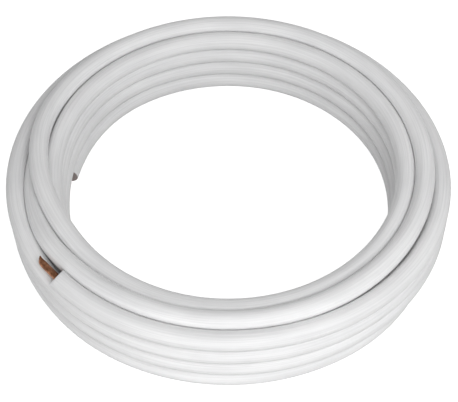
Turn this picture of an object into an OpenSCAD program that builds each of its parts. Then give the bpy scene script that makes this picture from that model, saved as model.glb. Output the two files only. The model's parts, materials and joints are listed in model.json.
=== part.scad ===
// Coil of soft copper tube in a white foam sleeve, lying flat on the floor.
// The turns are pressed together into one turned body with an open bore. The outer
// end leads off the top of the outermost layer, and the inner end off the bottom of
// the innermost layer. Bare copper stands out of both cut ends, pinched shut.
// Origin: the coil's axis on the floor, with +Z up. Directions are in degrees from +X.

/* [Tube and sleeve] */
// Outer diameter of the copper tube
tube_od = 9.52; // [6.35:0.01:15.88]
// Wall of the copper tube
tube_wall = 0.8; // [0.6:0.05:1.2]
// Thickness of the foam around the tube
foam = 9; // [6:0.5:13]
// Radial room between the tube and the foam
tube_room = 0.15; // [0.1:0.05:0.4]

/* [Winding] */
// Radius of the innermost turns, to the middle of the tube
inner_turn_r = 254; // [180:1:400]
// Layers of turns, counted from the bore outwards
layers = 3; // [3:2:7]
// Turns stacked in each layer
rows = 4; // [4:1:8]
// How much higher every second layer lies than its neighbours
nest_lift = 10.6; // [8:0.2:13]
// How far touching turns of one layer press into each other
squash = 1; // [0.6:0.1:2.4]
// How far touching turns of two layers press into each other
layer_squash = 0.6; // [0.2:0.1:1.5]
// How far the lowest turns press flat on the floor
floor_press = 0.5; // [0.2:0.1:0.8]

/* [Ends] */
// Direction of the cut face of the outer end
outer_end_az = 222; // [0:1:359]
// Direction of the cut face of the inner end
inner_end_az = 170; // [0:1:359]
// How far the inner end springs away from the other turns into the bore
inner_spring = 8; // [0:1:20]
// How much closer than the other turns an end turn lies to the next one in its layer
seat = 2.5; // [1.5:0.1:4]
// How far the inner end turn goes back to its layer in its first half-turn
inner_return = 4; // [1:0.5:8]

/* [Bare copper] */
// Length of round tube that stands out of the foam
bare_len = 28; // [10:1:60]
// Length of the pinched tip beyond the round tube
pinch_len = 10; // [6:1:30]
// Thickness of the pinched tip at its edge
pinch_t = 3; // [1.6:0.1:4]
// Lean of the pinched edge from upright
pinch_lean = 18; // [-45:1:45]
// Depth of the tube inside the foam at each end
tube_depth = 90; // [30:1:160]

/* [Hidden] */
sleeve_od = tube_od + 2 * foam;
row_pitch = sleeve_od - squash;
// Every second layer lies in the hollows of its neighbours.
layer_pitch = sqrt(pow(sleeve_od - layer_squash, 2) - pow(nest_lift, 2));
// The stretch that sinks is a little thinner, and starts this far inside the half-turn
// before it.
sink_slim = 1;
sink_start = 2;
// A pinched tube keeps the length of its own wall around the edge.
pinch_w = pinch_t + PI / 2 * (tube_od - pinch_t);
pinch_root = 1;
pinch_sides = 32;
$fn = 128;

// Middle of one turn in the coil's section, as radius and height
function turn_at(layer, row) = [
    inner_turn_r + layer * layer_pitch,
    sleeve_od / 2 - floor_press + row * row_pitch + (layer % 2) * nest_lift
];

// The lowest turn of the first layer ends at the inner end, and the highest turn of
// the last layer at the outer end, so neither goes all the way round. From its end, the
// inner one goes back towards its layer in half a turn, and the outer one half-way down
// to the next turn. Half a turn later, both have sunk in between the layers.
inner_turn = turn_at(0, 0) + [-inner_spring, seat];
inner_half = inner_turn + [inner_return, 0];
inner_sunk = turn_at(1, 1);
outer_turn = turn_at(layers - 1, rows - 1) - [0, seat];
outer_half = (outer_turn + turn_at(layers - 1, rows - 2)) / 2;
outer_sunk = turn_at(layers - 2, rows - 2);

function first_row(layer) = layer == 0 ? 1 : 0;
function last_row(layer) = layer == layers - 1 ? rows - 2 : rows - 1;

// Section of the pressed turns: round on the outside, closed between the turns, and
// flat where the lowest turns lie on the floor
module turns_section() {
    difference() {
        union() {
            polygon(concat(
                [for (layer = [0 : layers - 1]) turn_at(layer, first_row(layer))],
                [for (layer = [layers - 1 : -1 : 0]) turn_at(layer, last_row(layer))]
            ));
            for (layer = [0 : layers - 1], row = [first_row(layer) : last_row(layer)])
                translate(turn_at(layer, row)) circle(d = sleeve_od);
        }
        translate([inner_turn_r, -sleeve_od])
            square([layers * layer_pitch + sleeve_od, sleeve_od]);
    }
}

// The tube runs anticlockwise from the outer end and clockwise from the inner one.
module at_outer_end() { rotate(outer_end_az) children(); }
module at_inner_end() { rotate(inner_end_az) mirror([0, 1, 0]) children(); }

// A tilted, off-centre ring joins one turn's place on the +X side to another's on the
// -X side, and is level at both.
function ring_r(from, to) = norm([from.x + to.x, to.y - from.y]) / 2;
module on_ring(from, to) {
    translate([(from.x - to.x) / 2, 0, (from.y + to.y) / 2])
        rotate([0, atan2(to.y - from.y, from.x + to.x), 0]) children();
}

// A section carried along half of such a ring, or a part of it
module half_turn(from, to, angle = 180, early = 0) {
    on_ring(from, to) rotate_extrude(start = -early, angle = angle + early)
        translate([ring_r(from, to), 0]) children();
}

// An end turn of the sleeve: half a turn of its own, then half a turn that ends inside
// the pressed turns
module end_turn(turn, half, sunk) {
    half_turn(turn, half) circle(d = sleeve_od);
    rotate(180) half_turn(half, sunk, early = sink_start)
        circle(d = sleeve_od - sink_slim);
}

// What lies along the tube from a cut face, to the tube's depth
module along_tube(turn, half) {
    half_turn(turn, half, angle = tube_depth / turn.x * 180 / PI) children();
}

// Tip of the tube along +Z, from round to a flat edge that stands along Y
module pinched_tip() {
    edge_r = pinch_t / 2;
    hull() {
        translate([0, 0, -pinch_root])
            cylinder(d = tube_od - tube_wall, h = pinch_root, $fn = pinch_sides);
        for (side = [-1, 1])
            translate([0, side * (pinch_w / 2 - edge_r), pinch_len - edge_r])
                sphere(r = edge_r, $fn = pinch_sides);
    }
}

// One end of the tube: inside the foam, then bare and straight, then pinched shut
module tube_end(turn, half) {
    along_tube(turn, half) tube_section();
    on_ring(turn, half) translate([ring_r(turn, half), 0]) rotate([90, 0, 0]) {
        linear_extrude(bare_len) tube_section();
        translate([0, 0, bare_len]) rotate(-pinch_lean) pinched_tip();
    }
}

module tube_section() {
    difference() {
        circle(d = tube_od);
        circle(d = tube_od - 2 * tube_wall);
    }
}

module foam_sleeve() {
    hole_d = tube_od + 2 * tube_room;
    color("whitesmoke") difference() {
        union() {
            rotate_extrude() turns_section();
            at_outer_end() end_turn(outer_turn, outer_half, outer_sunk);
            at_inner_end() end_turn(inner_turn, inner_half, inner_sunk);
        }
        at_outer_end() along_tube(outer_turn, outer_half) circle(d = hole_d);
        at_inner_end() along_tube(inner_turn, inner_half) circle(d = hole_d);
    }
}

module copper_tube() {
    color("#b87345") {
        at_outer_end() tube_end(outer_turn, outer_half);
        at_inner_end() tube_end(inner_turn, inner_half);
    }
}

foam_sleeve();
copper_tube();
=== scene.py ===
"""Coil of copper tube in a white foam sleeve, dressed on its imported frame."""
import json
import math
import bpy
import numpy as np
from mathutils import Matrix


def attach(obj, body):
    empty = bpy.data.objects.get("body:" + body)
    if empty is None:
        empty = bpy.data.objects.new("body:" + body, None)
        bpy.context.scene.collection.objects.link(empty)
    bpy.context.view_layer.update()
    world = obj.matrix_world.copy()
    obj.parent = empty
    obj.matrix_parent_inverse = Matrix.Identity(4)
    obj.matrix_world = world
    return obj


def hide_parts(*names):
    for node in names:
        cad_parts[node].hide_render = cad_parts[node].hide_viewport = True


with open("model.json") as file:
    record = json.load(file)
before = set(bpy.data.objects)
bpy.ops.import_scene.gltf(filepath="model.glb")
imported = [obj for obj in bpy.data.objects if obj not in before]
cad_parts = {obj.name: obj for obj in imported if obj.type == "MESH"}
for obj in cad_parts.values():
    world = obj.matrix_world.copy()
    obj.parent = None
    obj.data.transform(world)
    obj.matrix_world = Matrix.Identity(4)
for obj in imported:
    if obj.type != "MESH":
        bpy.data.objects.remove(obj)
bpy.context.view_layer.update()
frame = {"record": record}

# Tube and sleeve, in metres
MOUNTS = {mount["name"]: mount for mount in frame["record"]["mounts"]}
TUBE_R = MOUNTS["outer_end"]["dims"]["r_mm"] / 1000
BARE_LEN = MOUNTS["outer_end"]["dims"]["length_mm"] / 1000
FOAM = 0.009
TUBE_ROOM = 0.00015
SLEEVE_R = TUBE_R + FOAM
SLEEVE_D = 2 * SLEEVE_R
SLEEVE_SIDES = 48
# Degrees along the winding from one ring of the sleeve to the next
SLEEVE_STEP = 2.4

# Each end of the tube: the length shown inside the foam, and the pinched tip. The tip's edge leans
# from upright, in degrees, lies a little to one side, and its section squares up as it flattens.
INSIDE_LEN = 0.030
PINCH_LEN = 0.010
PINCH_T = 0.003
PINCH_W = PINCH_T + math.pi / 2 * (2 * TUBE_R - PINCH_T)
PINCH_LEAN = -16
PINCH_SHIFT = 0.0006
PINCH_SQUARE = 0.45
TUBE_SIDES = 40
BARE_RINGS = 14
PINCH_RINGS = 16
# Rings of the tip's rounded lip: how far past the tip, and the share of its thickness and width
LIP_PAST = np.array([0.0004, 0.0006, 0.0002, -0.0012])
LIP_THICK = (0.86, 0.62, 0.30, 0.22)
LIP_WIDE = (0.985, 0.95, 0.90, 0.86)

# Cut ends of the foam: depth of the hole that is shown, rounding of the edge, slant of each cut,
# how far along the foam the slant is felt, and the way that it faces round the section, in radians
HOLE_DEPTH = 0.014
EDGE_ROUND = 0.0008
OUTER_SLANT = 0.0075
INNER_SLANT = 0.001
CUT_REACH = 0.030
CUT_WAY = 1.2

# The winding: radius of each layer, spacing of its rows, and the directions of the two ends
INNER_R, MIDDLE_R, OUTER_R = 0.2541, 0.2788, 0.3033
INNER_PITCH, MIDDLE_PITCH, OUTER_PITCH = 0.02652, 0.0300, 0.0257
FLOOR_PRESS = 0.0005
FLOOR_Z = SLEEVE_R - FLOOR_PRESS
TOP_Z = 0.1034
OUTER_END_AZ = 222
INNER_END_AZ = 170
LAPS = 11
LAST = 360 * (LAPS - 1) + (INNER_END_AZ - OUTER_END_AZ) % 360

# How far the tube leaves its layer: inwards at the outer end and at the lowest outer turn,
# outwards where it climbs past the outer end, inwards at the inner end and at the right side
END_TUCK = 0.002
LOW_TUCK = 0.001
CLIMB_OUT = 0.003
INNER_SPRING = 0.0130
OVAL = 0.003
OVAL_AZ = 25
# Turns of the inner layer: lap, lean into the bore at the right and at the left, and the
# direction in which the left one starts
INNER_LEANS = (
    (7, 0, 0.002, 110),
    (8, -0.001, 0.0065, 130),
    (9, 0.003, 0.0095, 128),
    (10, 0.0045, INNER_SPRING, 135),
)
# Rise of an outer turn at the front, for each turn below it
FRONT_RISE = 0.0009

# How the turns settle: points along each turn, the distance at which turns touch or are near,
# how readily a turn in sight gives way, the share of each push and of the shift that a round
# keeps, and the rounds
PER_TURN = 120
TOUCH = 0.89 * SLEEVE_D
BURIED_TOUCH = 0.84 * SLEEVE_D
NEAR = 1.2 * SLEEVE_D
SEEN_YIELD = 0.2
PUSH_SHARE = 0.6
SHIFT_KEPT = 0.997
SETTLE_ROUNDS = 500
# Rounds of easing for the course and for the shift
KNOT_EASE = 20
SHIFT_EASE = 2
# Room between pressed faces, and the least divisor
HAIR = 0.0001
TINY = 1e-6

# The photograph's frame, and the camera fitted to it
IMAGE_W = 458
FOCAL_PX = 1118.7
SENSOR_MM = 36
CAMERA_AT = (0, -1.0633, 1.2772)
CAMERA_DOWN = 50.118


def at(lap, az):
    """Angle from the outer end, along the tube, at a direction on one of its laps."""
    return 360 * lap + (az - OUTER_END_AZ) % 360


def radius_knots():
    """Radius of the tube's middle along its course: outer layer, middle one, then inner one."""
    tucked = OUTER_R - END_TUCK
    knots = [
        (at(0, 222), tucked), (at(0, 315), tucked), (at(0, 0), OUTER_R),
        (at(3, 320), OUTER_R - LOW_TUCK), (at(3, 20), MIDDLE_R),
        (at(5, 188), MIDDLE_R), (at(5, 212), MIDDLE_R + CLIMB_OUT), (at(6, 232), MIDDLE_R),
        (at(6, 167), MIDDLE_R), (at(6, 204), INNER_R),
    ]
    # Low turns of the inner layer lean into the bore at the left, and the last one ends there.
    for lap, right, left, start in INNER_LEANS:
        knots += [
            (at(lap, 300), INNER_R), (at(lap, 0), INNER_R - right), (at(lap, 70), INNER_R),
            (at(lap, start), INNER_R), (at(lap, 172), INNER_R - left), (at(lap + 1, 250), INNER_R),
        ]
    return np.array(knots).T


def height_knots():
    """Height of the tube's middle along its course: down the outer layer, up the middle one,
    then down the inner one."""
    knots = []
    # High at the front, lower round the back, then a step down under its own start
    for lap in range(3):
        below = 3 - lap
        top = FLOOR_Z + below * OUTER_PITCH
        rise = FRONT_RISE * below
        for az, drop in ((222, -0.001), (265, -rise), (285, -rise), (315, 0.0065 - 0.002 * lap),
                         (0, 0.0110), (130, 0.0105), (185, 0.0120), (206, 0.0125)):
            knots.append((at(lap, az), top - drop))
    # Along the floor, then up row by row
    for lap, az, row in ((3, 225, 0), (3, 20, 0), (3, 170, 0.1), (4, 290, 0.95), (4, 180, 1.05),
                         (5, 290, 1.95), (5, 184, 2.05)):
        knots.append((at(lap, az), FLOOR_Z + row * MIDDLE_PITCH))
    # Round the top, and over the inner layer's first turn
    for lap, az, height in ((6, 222, 0.0970), (6, 246, 0.1015), (6, 270, 0.1024), (6, 0, 0.1030),
                            (6, 90, TOP_Z), (6, 167, TOP_Z), (6, 204, 0.0990), (7, 232, 0.0941)):
        knots.append((at(lap, az), height))
    # Down in steps at the left
    for lap in range(7, 10):
        row = FLOOR_Z + (10 - lap) * INNER_PITCH
        knots += [(at(lap, 270), row), (at(lap, 158), row), (at(lap, 200), row - INNER_PITCH)]
    knots.append((LAST, FLOOR_Z))
    return np.array(knots).T


def eased(values, width):
    """Values along the tube with their corners rounded over a few steps."""
    for _ in range(width):
        wide = np.pad(values, ((1, 1), (0, 0)), mode="edge")
        values = (wide[:-2] + 2 * values + wide[2:]) / 4
    return values


def wound(phi):
    """Radius and height of the tube's middle at each angle phi from the outer end, before the
    turns settle."""
    az = np.radians(phi + OUTER_END_AZ)
    # The right side is pressed in a little, and the outer layer only towards the back.
    whole = np.clip(np.cos(az), 0, 1)
    part = np.clip(np.cos(az - math.radians(OVAL_AZ)), 0, 1) ** 4
    oval = OVAL * np.where(phi < at(3, 320), part, whole)
    radius = np.interp(phi, *radius_knots()) - oval
    height = np.interp(phi, *height_knots())
    return eased(np.stack([radius, height], axis=-1), KNOT_EASE)


def settled(path, buried):
    """Push touching turns apart until none presses too far into another, the floor included.
    Buried turns are squeezed more than the ones in sight, and give way to them."""
    shift = np.zeros_like(path)
    yields = np.where(buried, 1.0, SEEN_YIELD)
    for _ in range(SETTLE_ROUNDS):
        here = path + shift
        push = np.zeros_like(path)
        for lap in range(1, LAPS):
            n = lap * PER_TURN
            if n >= len(path):
                break
            gap = here[n:] - here[:-n]
            dist = np.maximum(np.linalg.norm(gap, axis=1), TINY)
            touch = np.where(buried[n:] | buried[:-n], BURIED_TOUCH, TOUCH)
            move = gap * (np.clip(touch - dist, 0, None) / dist)[:, None]
            share = (yields[n:] / (yields[n:] + yields[:-n]))[:, None]
            push[:-n] -= move * (1 - share)
            push[n:] += move * share
        shift = (shift + PUSH_SHARE * push) * SHIFT_KEPT
        shift = eased(shift, SHIFT_EASE)
        shift[:, 1] = np.clip(shift[:, 1], FLOOR_Z - path[:, 1], TOP_Z - path[:, 1])
        shift[:, 0] = np.minimum(shift[:, 0], OUTER_R + HAIR - path[:, 0])
    return path + shift


PATH_PHI = np.arange(0, LAST + TINY, 360 / PER_TURN)
BURIED = (PATH_PHI > at(3, 320)) & (PATH_PHI < at(5, 184))
PATH = settled(wound(PATH_PHI), BURIED)


def middle(phi):
    """Radius and height of the settled tube's middle."""
    radius = np.interp(phi, PATH_PHI, PATH[:, 0])
    height = np.interp(phi, PATH_PHI, PATH[:, 1])
    return np.stack([radius, height], axis=-1)


def around(phi, offset):
    """Points in space for section offsets (radial, up) at angles phi from the outer end."""
    az = np.radians(phi + OUTER_END_AZ)
    r = offset[..., 0]
    return np.stack([r * np.cos(az), r * np.sin(az), offset[..., 1]], axis=-1)


def soft_over(value, edge=0.0004):
    """How far a value is over zero, with a soft start."""
    return (value + np.sqrt(value * value + edge * edge)) / 2


def grid_mesh(name, points, uv=None, cut_rings=()):
    """A tube mesh from rings of points, closed round each ring, with both ends capped.
    The bands of faces from the cut rings on take the second material, the painted shade of the cut
    faces."""
    rings, sides = points.shape[:2]
    index = np.arange(rings * sides).reshape(rings, sides)
    ahead = np.roll(index, -1, axis=1)
    quads = np.stack([index[:-1], ahead[:-1], ahead[1:], index[1:]], axis=-1).reshape(-1, 4)
    faces = quads.tolist()
    faces.append(index[0, ::-1].tolist())
    faces.append(index[-1].tolist())
    mesh = bpy.data.meshes.new(name)
    mesh.from_pydata(points.reshape(-1, 3).tolist(), [], faces)
    if uv is not None:
        wide = np.concatenate([uv, uv[:, :1] + np.array([0, 2 * math.pi * SLEEVE_R])], axis=1)
        corners = np.stack([wide[:-1, :-1], wide[:-1, 1:], wide[1:, 1:], wide[1:, :-1]], axis=2)
        caps = np.concatenate([uv[0, ::-1], uv[-1]])
        layer = mesh.uv_layers.new(name="along")
        layer.data.foreach_set("uv", np.concatenate([corners.reshape(-1, 2), caps]).ravel())
    for ring in cut_rings:
        for face in mesh.polygons[ring * sides:(ring + 1) * sides]:
            face.material_index = 1
    mesh.shade_smooth()
    mesh.validate()
    piece = bpy.data.objects.new(name, mesh)
    bpy.context.collection.objects.link(piece)
    return piece


def sleeve():
    """The foam sleeve along the settled tube, pressed flat where it touches itself and the floor."""
    degree = math.degrees(1 / MIDDLE_R)
    bore = TUBE_R + TUBE_ROOM
    # Each cut end: the bore, the cut face and a slightly rounded edge
    cut = [
        (HOLE_DEPTH, bore), (0.0002, bore), (0.0, bore + 0.0006), (0.0, SLEEVE_R - EDGE_ROUND),
        (0.0003, SLEEVE_R - 0.0003), (0.0010, SLEEVE_R),
    ]
    head = [(length * degree, radius) for length, radius in cut]
    tail = [(LAST - length * degree, radius) for length, radius in reversed(cut)]
    run = [(phi, SLEEVE_R) for phi in np.arange(1.0, LAST - 1.0, SLEEVE_STEP)]
    rings = np.array(head + run + tail)
    phi = rings[:, 0]
    theta = np.linspace(0, 2 * math.pi, SLEEVE_SIDES, endpoint=False)
    unit = np.stack([np.cos(theta), np.sin(theta)], axis=-1)
    section = rings[:, 1][:, None, None] * unit[None]
    here = middle(phi)
    for lap in range(-LAPS, LAPS + 1):
        other = phi + 360 * lap
        there = middle(other) - here
        dist = np.linalg.norm(there, axis=1)
        near = (lap != 0) & (other >= 0) & (other <= LAST) & (dist < NEAR)
        way = there / np.maximum(dist, TINY)[:, None]
        reach = np.einsum("rsk,rk->rs", section, way)
        over = soft_over(reach - (dist / 2 - HAIR)[:, None]) * near[:, None]
        section = section - over[..., None] * way[:, None, :]
    low = soft_over(-section[..., 1] - here[:, 1][:, None])
    section[..., 1] += low
    # The outer end is cut on a slant, further back on top, and the inner one nearly square.
    near_head = OUTER_SLANT * np.clip(1 - phi / degree / CUT_REACH, 0, 1)
    near_tail = INNER_SLANT * np.clip(1 - (LAST - phi) / degree / CUT_REACH, 0, 1)
    lean = (near_head + near_tail)[:, None] * np.cos(theta - CUT_WAY)[None] * degree
    lean = lean * (rings[:, 1] / SLEEVE_R)[:, None]
    points = around(phi[:, None] + lean, here[:, None, :] + section)
    space = around(phi, here)
    length = np.concatenate([[0], np.cumsum(np.linalg.norm(np.diff(space, axis=0), axis=1))])
    uv = np.stack(np.broadcast_arrays(length[:, None], theta[None] * SLEEVE_R), axis=-1)
    last = len(rings) - 2
    return grid_mesh("foam_sleeve_skin", points, uv, (0, 1, 2, last - 2, last - 1, last))


def tube_end(name, start, sign):
    """One end of the tube: curved inside the foam, then bare and straight, then pinched shut."""
    lengths = np.concatenate([
        np.linspace(-INSIDE_LEN, BARE_LEN, BARE_RINGS),
        BARE_LEN + np.linspace(0, PINCH_LEN, PINCH_RINGS)[1:],
        BARE_LEN + PINCH_LEN + LIP_PAST,
    ])
    flat = np.clip((lengths - BARE_LEN) / PINCH_LEN, 0, 1) ** 2
    half_t = TUBE_R + (PINCH_T / 2 - TUBE_R) * flat
    half_w = TUBE_R + (PINCH_W / 2 - TUBE_R) * flat
    lip = np.ones(len(lengths))
    lip[-len(LIP_THICK):] = LIP_THICK
    side_lip = np.ones(len(lengths))
    side_lip[-len(LIP_WIDE):] = LIP_WIDE
    theta = np.linspace(0, 2 * math.pi, TUBE_SIDES, endpoint=False)
    # A pinched tube is a flat oval with rounded edges, so its section squares up as it flattens.
    power = 1 - PINCH_SQUARE * flat[:, None]
    cos = np.sign(np.cos(theta)) * np.abs(np.cos(theta)) ** power
    sin = np.sin(theta)[None] * np.ones_like(power)
    thick = cos * (half_t * lip)[:, None]
    wide = sin * (half_w * side_lip)[:, None]
    lean = math.radians(-PINCH_LEAN) * sign
    turn = flat * lean
    out = thick * np.cos(turn)[:, None] - wide * np.sin(turn)[:, None]
    up = thick * np.sin(turn)[:, None] + wide * np.cos(turn)[:, None]
    base = middle(start)
    az = math.radians(start + OUTER_END_AZ)
    radial = np.array([math.cos(az), math.sin(az), 0])
    ahead = sign * np.array([math.sin(az), -math.cos(az), 0])
    rise = np.array([0, 0, 1.0])
    inside = np.minimum(lengths, 0) / base[0]
    bend = base[0] * (np.cos(inside) - 1) - PINCH_SHIFT * flat
    along = base[0] * np.sin(inside) + np.maximum(lengths, 0)
    points = (
        (base[0] + bend[:, None] + out)[..., None] * radial
        + along[:, None, None] * ahead
        + (base[1] + up)[..., None] * rise
    )
    if sign < 0:
        points = points[:, ::-1]
    return grid_mesh(name, points)


def join(name, pieces):
    """Several pieces as one."""
    for piece in bpy.context.selected_objects:
        piece.select_set(False)
    for piece in pieces:
        piece.select_set(True)
    bpy.context.view_layer.objects.active = pieces[0]
    bpy.ops.object.join()
    pieces[0].name = name
    pieces[0].data.name = name
    return pieces[0]


def node(tree, kind, **values):
    """A shader node with some of its settings and inputs set."""
    made = tree.nodes.new(kind)
    for key, value in values.items():
        if hasattr(made, key):
            setattr(made, key, value)
        else:
            made.inputs[key.replace("_", " ")].default_value = value
    return made


def new_material(name):
    """A new material with its node tree and main shader."""
    material = bpy.data.materials.new(name)
    material.use_nodes = True
    tree = material.node_tree
    return material, tree, tree.nodes["Principled BSDF"]


def foam_material():
    """White foam skin: satin, drawn lengthwise, faintly wrinkled and uneven in tone."""
    material, tree, shader = new_material("white_foam_skin")
    link = tree.links.new
    uv = node(tree, "ShaderNodeUVMap", uv_map="along")
    drawn = node(tree, "ShaderNodeMapping")
    drawn.inputs["Scale"].default_value = (6, 420, 1)
    link(uv.outputs["UV"], drawn.inputs["Vector"])
    lines = node(tree, "ShaderNodeTexNoise", Scale=1.0, Detail=3.0, Roughness=0.6)
    link(drawn.outputs["Vector"], lines.inputs["Vector"])
    ripple = node(tree, "ShaderNodeMapping")
    ripple.inputs["Scale"].default_value = (260, 30, 1)
    link(uv.outputs["UV"], ripple.inputs["Vector"])
    wrinkles = node(tree, "ShaderNodeTexNoise", Scale=1.0, Detail=2.0, Roughness=0.5)
    link(ripple.outputs["Vector"], wrinkles.inputs["Vector"])
    place_map = node(tree, "ShaderNodeMapping")
    place_map.inputs["Scale"].default_value = (9, 22, 1)
    link(uv.outputs["UV"], place_map.inputs["Vector"])
    patches = node(tree, "ShaderNodeTexNoise", Scale=1.0, Detail=2.0, Roughness=0.5)
    link(place_map.outputs["Vector"], patches.inputs["Vector"])
    tone = node(tree, "ShaderNodeValToRGB")
    tone.color_ramp.elements[0].position = 0.3
    tone.color_ramp.elements[0].color = (0.79, 0.79, 0.795, 1)
    tone.color_ramp.elements[1].position = 0.72
    tone.color_ramp.elements[1].color = (0.86, 0.86, 0.862, 1)
    link(patches.outputs["Fac"], tone.inputs["Fac"])
    streak = node(tree, "ShaderNodeMix", data_type="RGBA", blend_type="MULTIPLY")
    streak.inputs["Factor"].default_value = 0.75
    link(tone.outputs["Color"], streak.inputs["A"])
    grey = node(tree, "ShaderNodeValToRGB")
    grey.color_ramp.elements[0].position = 0.35
    grey.color_ramp.elements[0].color = (0.86, 0.86, 0.86, 1)
    grey.color_ramp.elements[1].position = 0.6
    grey.color_ramp.elements[1].color = (1, 1, 1, 1)
    link(lines.outputs["Fac"], grey.inputs["Fac"])
    link(grey.outputs["Color"], streak.inputs["B"])
    link(streak.outputs["Result"], shader.inputs["Base Color"])
    gloss = node(tree, "ShaderNodeMapRange")
    gloss.inputs["From Min"].default_value = 0.3
    gloss.inputs["From Max"].default_value = 0.7
    gloss.inputs["To Min"].default_value = 0.42
    gloss.inputs["To Max"].default_value = 0.58
    link(patches.outputs["Fac"], gloss.inputs["Value"])
    link(gloss.outputs["Result"], shader.inputs["Roughness"])
    fine = node(tree, "ShaderNodeBump", Strength=0.6, Distance=0.0006)
    link(lines.outputs["Fac"], fine.inputs["Height"])
    folds = node(tree, "ShaderNodeBump", Strength=0.15, Distance=0.0006)
    link(wrinkles.outputs["Fac"], folds.inputs["Height"])
    link(fine.outputs["Normal"], folds.inputs["Normal"])
    link(folds.outputs["Normal"], shader.inputs["Normal"])
    shader.inputs["Specular IOR Level"].default_value = 0.35
    shader.inputs["Subsurface Weight"].default_value = 0.4
    shader.inputs["Subsurface Radius"].default_value = (1, 1, 1)
    shader.inputs["Subsurface Scale"].default_value = 0.0035
    return material


def shaded_cut_material():
    """Cut foam: open cells, coloured dark grey-brown as painted shade on the cut face."""
    material, tree, shader = new_material("cut_foam_painted_shade")
    link = tree.links.new
    place = node(tree, "ShaderNodeTexCoord")
    cells = node(tree, "ShaderNodeTexVoronoi", Scale=900.0)
    link(place.outputs["Object"], cells.inputs["Vector"])
    # The dark grey-brown tones are painted shade: the cut face is darkened as if it lay in shadow.
    tone = node(tree, "ShaderNodeValToRGB")
    tone.color_ramp.elements[0].color = (0.20, 0.165, 0.155, 1)
    tone.color_ramp.elements[1].color = (0.42, 0.37, 0.355, 1)
    link(cells.outputs["Distance"], tone.inputs["Fac"])
    link(tone.outputs["Color"], shader.inputs["Base Color"])
    pits = node(tree, "ShaderNodeBump", Strength=0.5, Distance=0.0004)
    link(cells.outputs["Distance"], pits.inputs["Height"])
    link(pits.outputs["Normal"], shader.inputs["Normal"])
    shader.inputs["Roughness"].default_value = 0.9
    return material


def copper_material():
    """Soft copper, dulled and browned by handling, with faint dents."""
    material, tree, shader = new_material("dull_copper")
    link = tree.links.new
    place = node(tree, "ShaderNodeTexCoord")
    cloud = node(tree, "ShaderNodeTexNoise", Scale=160.0, Detail=4.0, Roughness=0.65)
    link(place.outputs["Object"], cloud.inputs["Vector"])
    tone = node(tree, "ShaderNodeValToRGB")
    tone.color_ramp.elements[0].position = 0.32
    tone.color_ramp.elements[0].color = (0.13, 0.050, 0.024, 1)
    tone.color_ramp.elements[1].position = 0.66
    tone.color_ramp.elements[1].color = (0.46, 0.215, 0.115, 1)
    link(cloud.outputs["Fac"], tone.inputs["Fac"])
    link(tone.outputs["Color"], shader.inputs["Base Color"])
    gloss = node(tree, "ShaderNodeMapRange")
    gloss.inputs["To Min"].default_value = 0.58
    gloss.inputs["To Max"].default_value = 0.34
    link(cloud.outputs["Fac"], gloss.inputs["Value"])
    link(gloss.outputs["Result"], shader.inputs["Roughness"])
    dents = node(tree, "ShaderNodeBump", Strength=0.2, Distance=0.0003)
    link(cloud.outputs["Fac"], dents.inputs["Height"])
    link(dents.outputs["Normal"], shader.inputs["Normal"])
    shader.inputs["Metallic"].default_value = 0.9
    return material


def floor():
    """A plain pale floor that glows white and throws no diffuse light back at the coil."""
    bpy.ops.mesh.primitive_plane_add(size=14, location=(0, 0, 0))
    plane = bpy.context.object
    plane.name = "floor"
    plane.visible_diffuse = False
    material, _, shader = new_material("pale_floor")
    shader.inputs["Base Color"].default_value = (0.6, 0.6, 0.6, 1)
    shader.inputs["Roughness"].default_value = 0.9
    shader.inputs["Specular IOR Level"].default_value = 0.1
    shader.inputs["Emission Color"].default_value = (1, 1, 1, 1)
    shader.inputs["Emission Strength"].default_value = 0.85
    plane.data.materials.append(material)


def soft_light(name, location, size, power, target=(0, 0, 0.06)):
    """A soft square studio light aimed at the coil."""
    data = bpy.data.lights.new(name, "AREA")
    data.shape = "SQUARE"
    data.size = size
    data.energy = power
    light = bpy.data.objects.new(name, data)
    light.location = location
    light.visible_camera = False
    bpy.context.collection.objects.link(light)
    way = np.subtract(target, location)
    light.rotation_euler = (
        math.atan2(math.hypot(way[0], way[1]), -way[2]),
        0,
        math.atan2(-way[0], way[1]),
    )


def studio():
    """Soft light from the front and right, a surround that is paler above, and the camera."""
    scene = bpy.context.scene
    world = bpy.data.worlds.new("surround")
    world.use_nodes = True
    tree = world.node_tree
    tree.nodes["Background"].inputs["Color"].default_value = (1, 1, 1, 1)
    way = node(tree, "ShaderNodeTexCoord")
    split = node(tree, "ShaderNodeSeparateXYZ")
    tree.links.new(way.outputs["Generated"], split.inputs["Vector"])
    shade = node(tree, "ShaderNodeMapRange")
    shade.inputs["From Min"].default_value = -0.4
    shade.inputs["From Max"].default_value = 0.4
    shade.inputs["To Min"].default_value = 0.30
    shade.inputs["To Max"].default_value = 0.45
    tree.links.new(split.outputs["Z"], shade.inputs["Value"])
    tree.links.new(shade.outputs["Result"], tree.nodes["Background"].inputs["Strength"])
    scene.world = world
    soft_light("key", (0.5, -1.2, 1.4), size=1.0, power=14)
    soft_light("low", (-0.3, -2.4, 0.5), size=1.4, power=21)
    soft_light("right", (0.9, 0.3, 0.95), size=0.6, power=0.6)
    scene.view_settings.view_transform = "Standard"
    data = bpy.data.cameras.new("camera")
    data.sensor_width = SENSOR_MM
    data.lens = SENSOR_MM * FOCAL_PX / IMAGE_W
    camera = bpy.data.objects.new("camera", data)
    camera.location = CAMERA_AT
    camera.rotation_euler = (math.radians(90 - CAMERA_DOWN), 0, 0)
    bpy.context.collection.objects.link(camera)
    scene.camera = camera


skin = sleeve()
skin.data.materials.append(foam_material())
# The cut ends take the dark cut-foam material, which is painted shade.
skin.data.materials.append(shaded_cut_material())
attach(skin, "root")
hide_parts("foam_sleeve")

ends = join("copper_ends", [tube_end("outer_copper", 0.0, 1), tube_end("inner_copper", LAST, -1)])
ends.data.materials.append(copper_material())
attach(ends, "root")
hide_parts("copper_tube")

floor()
studio()
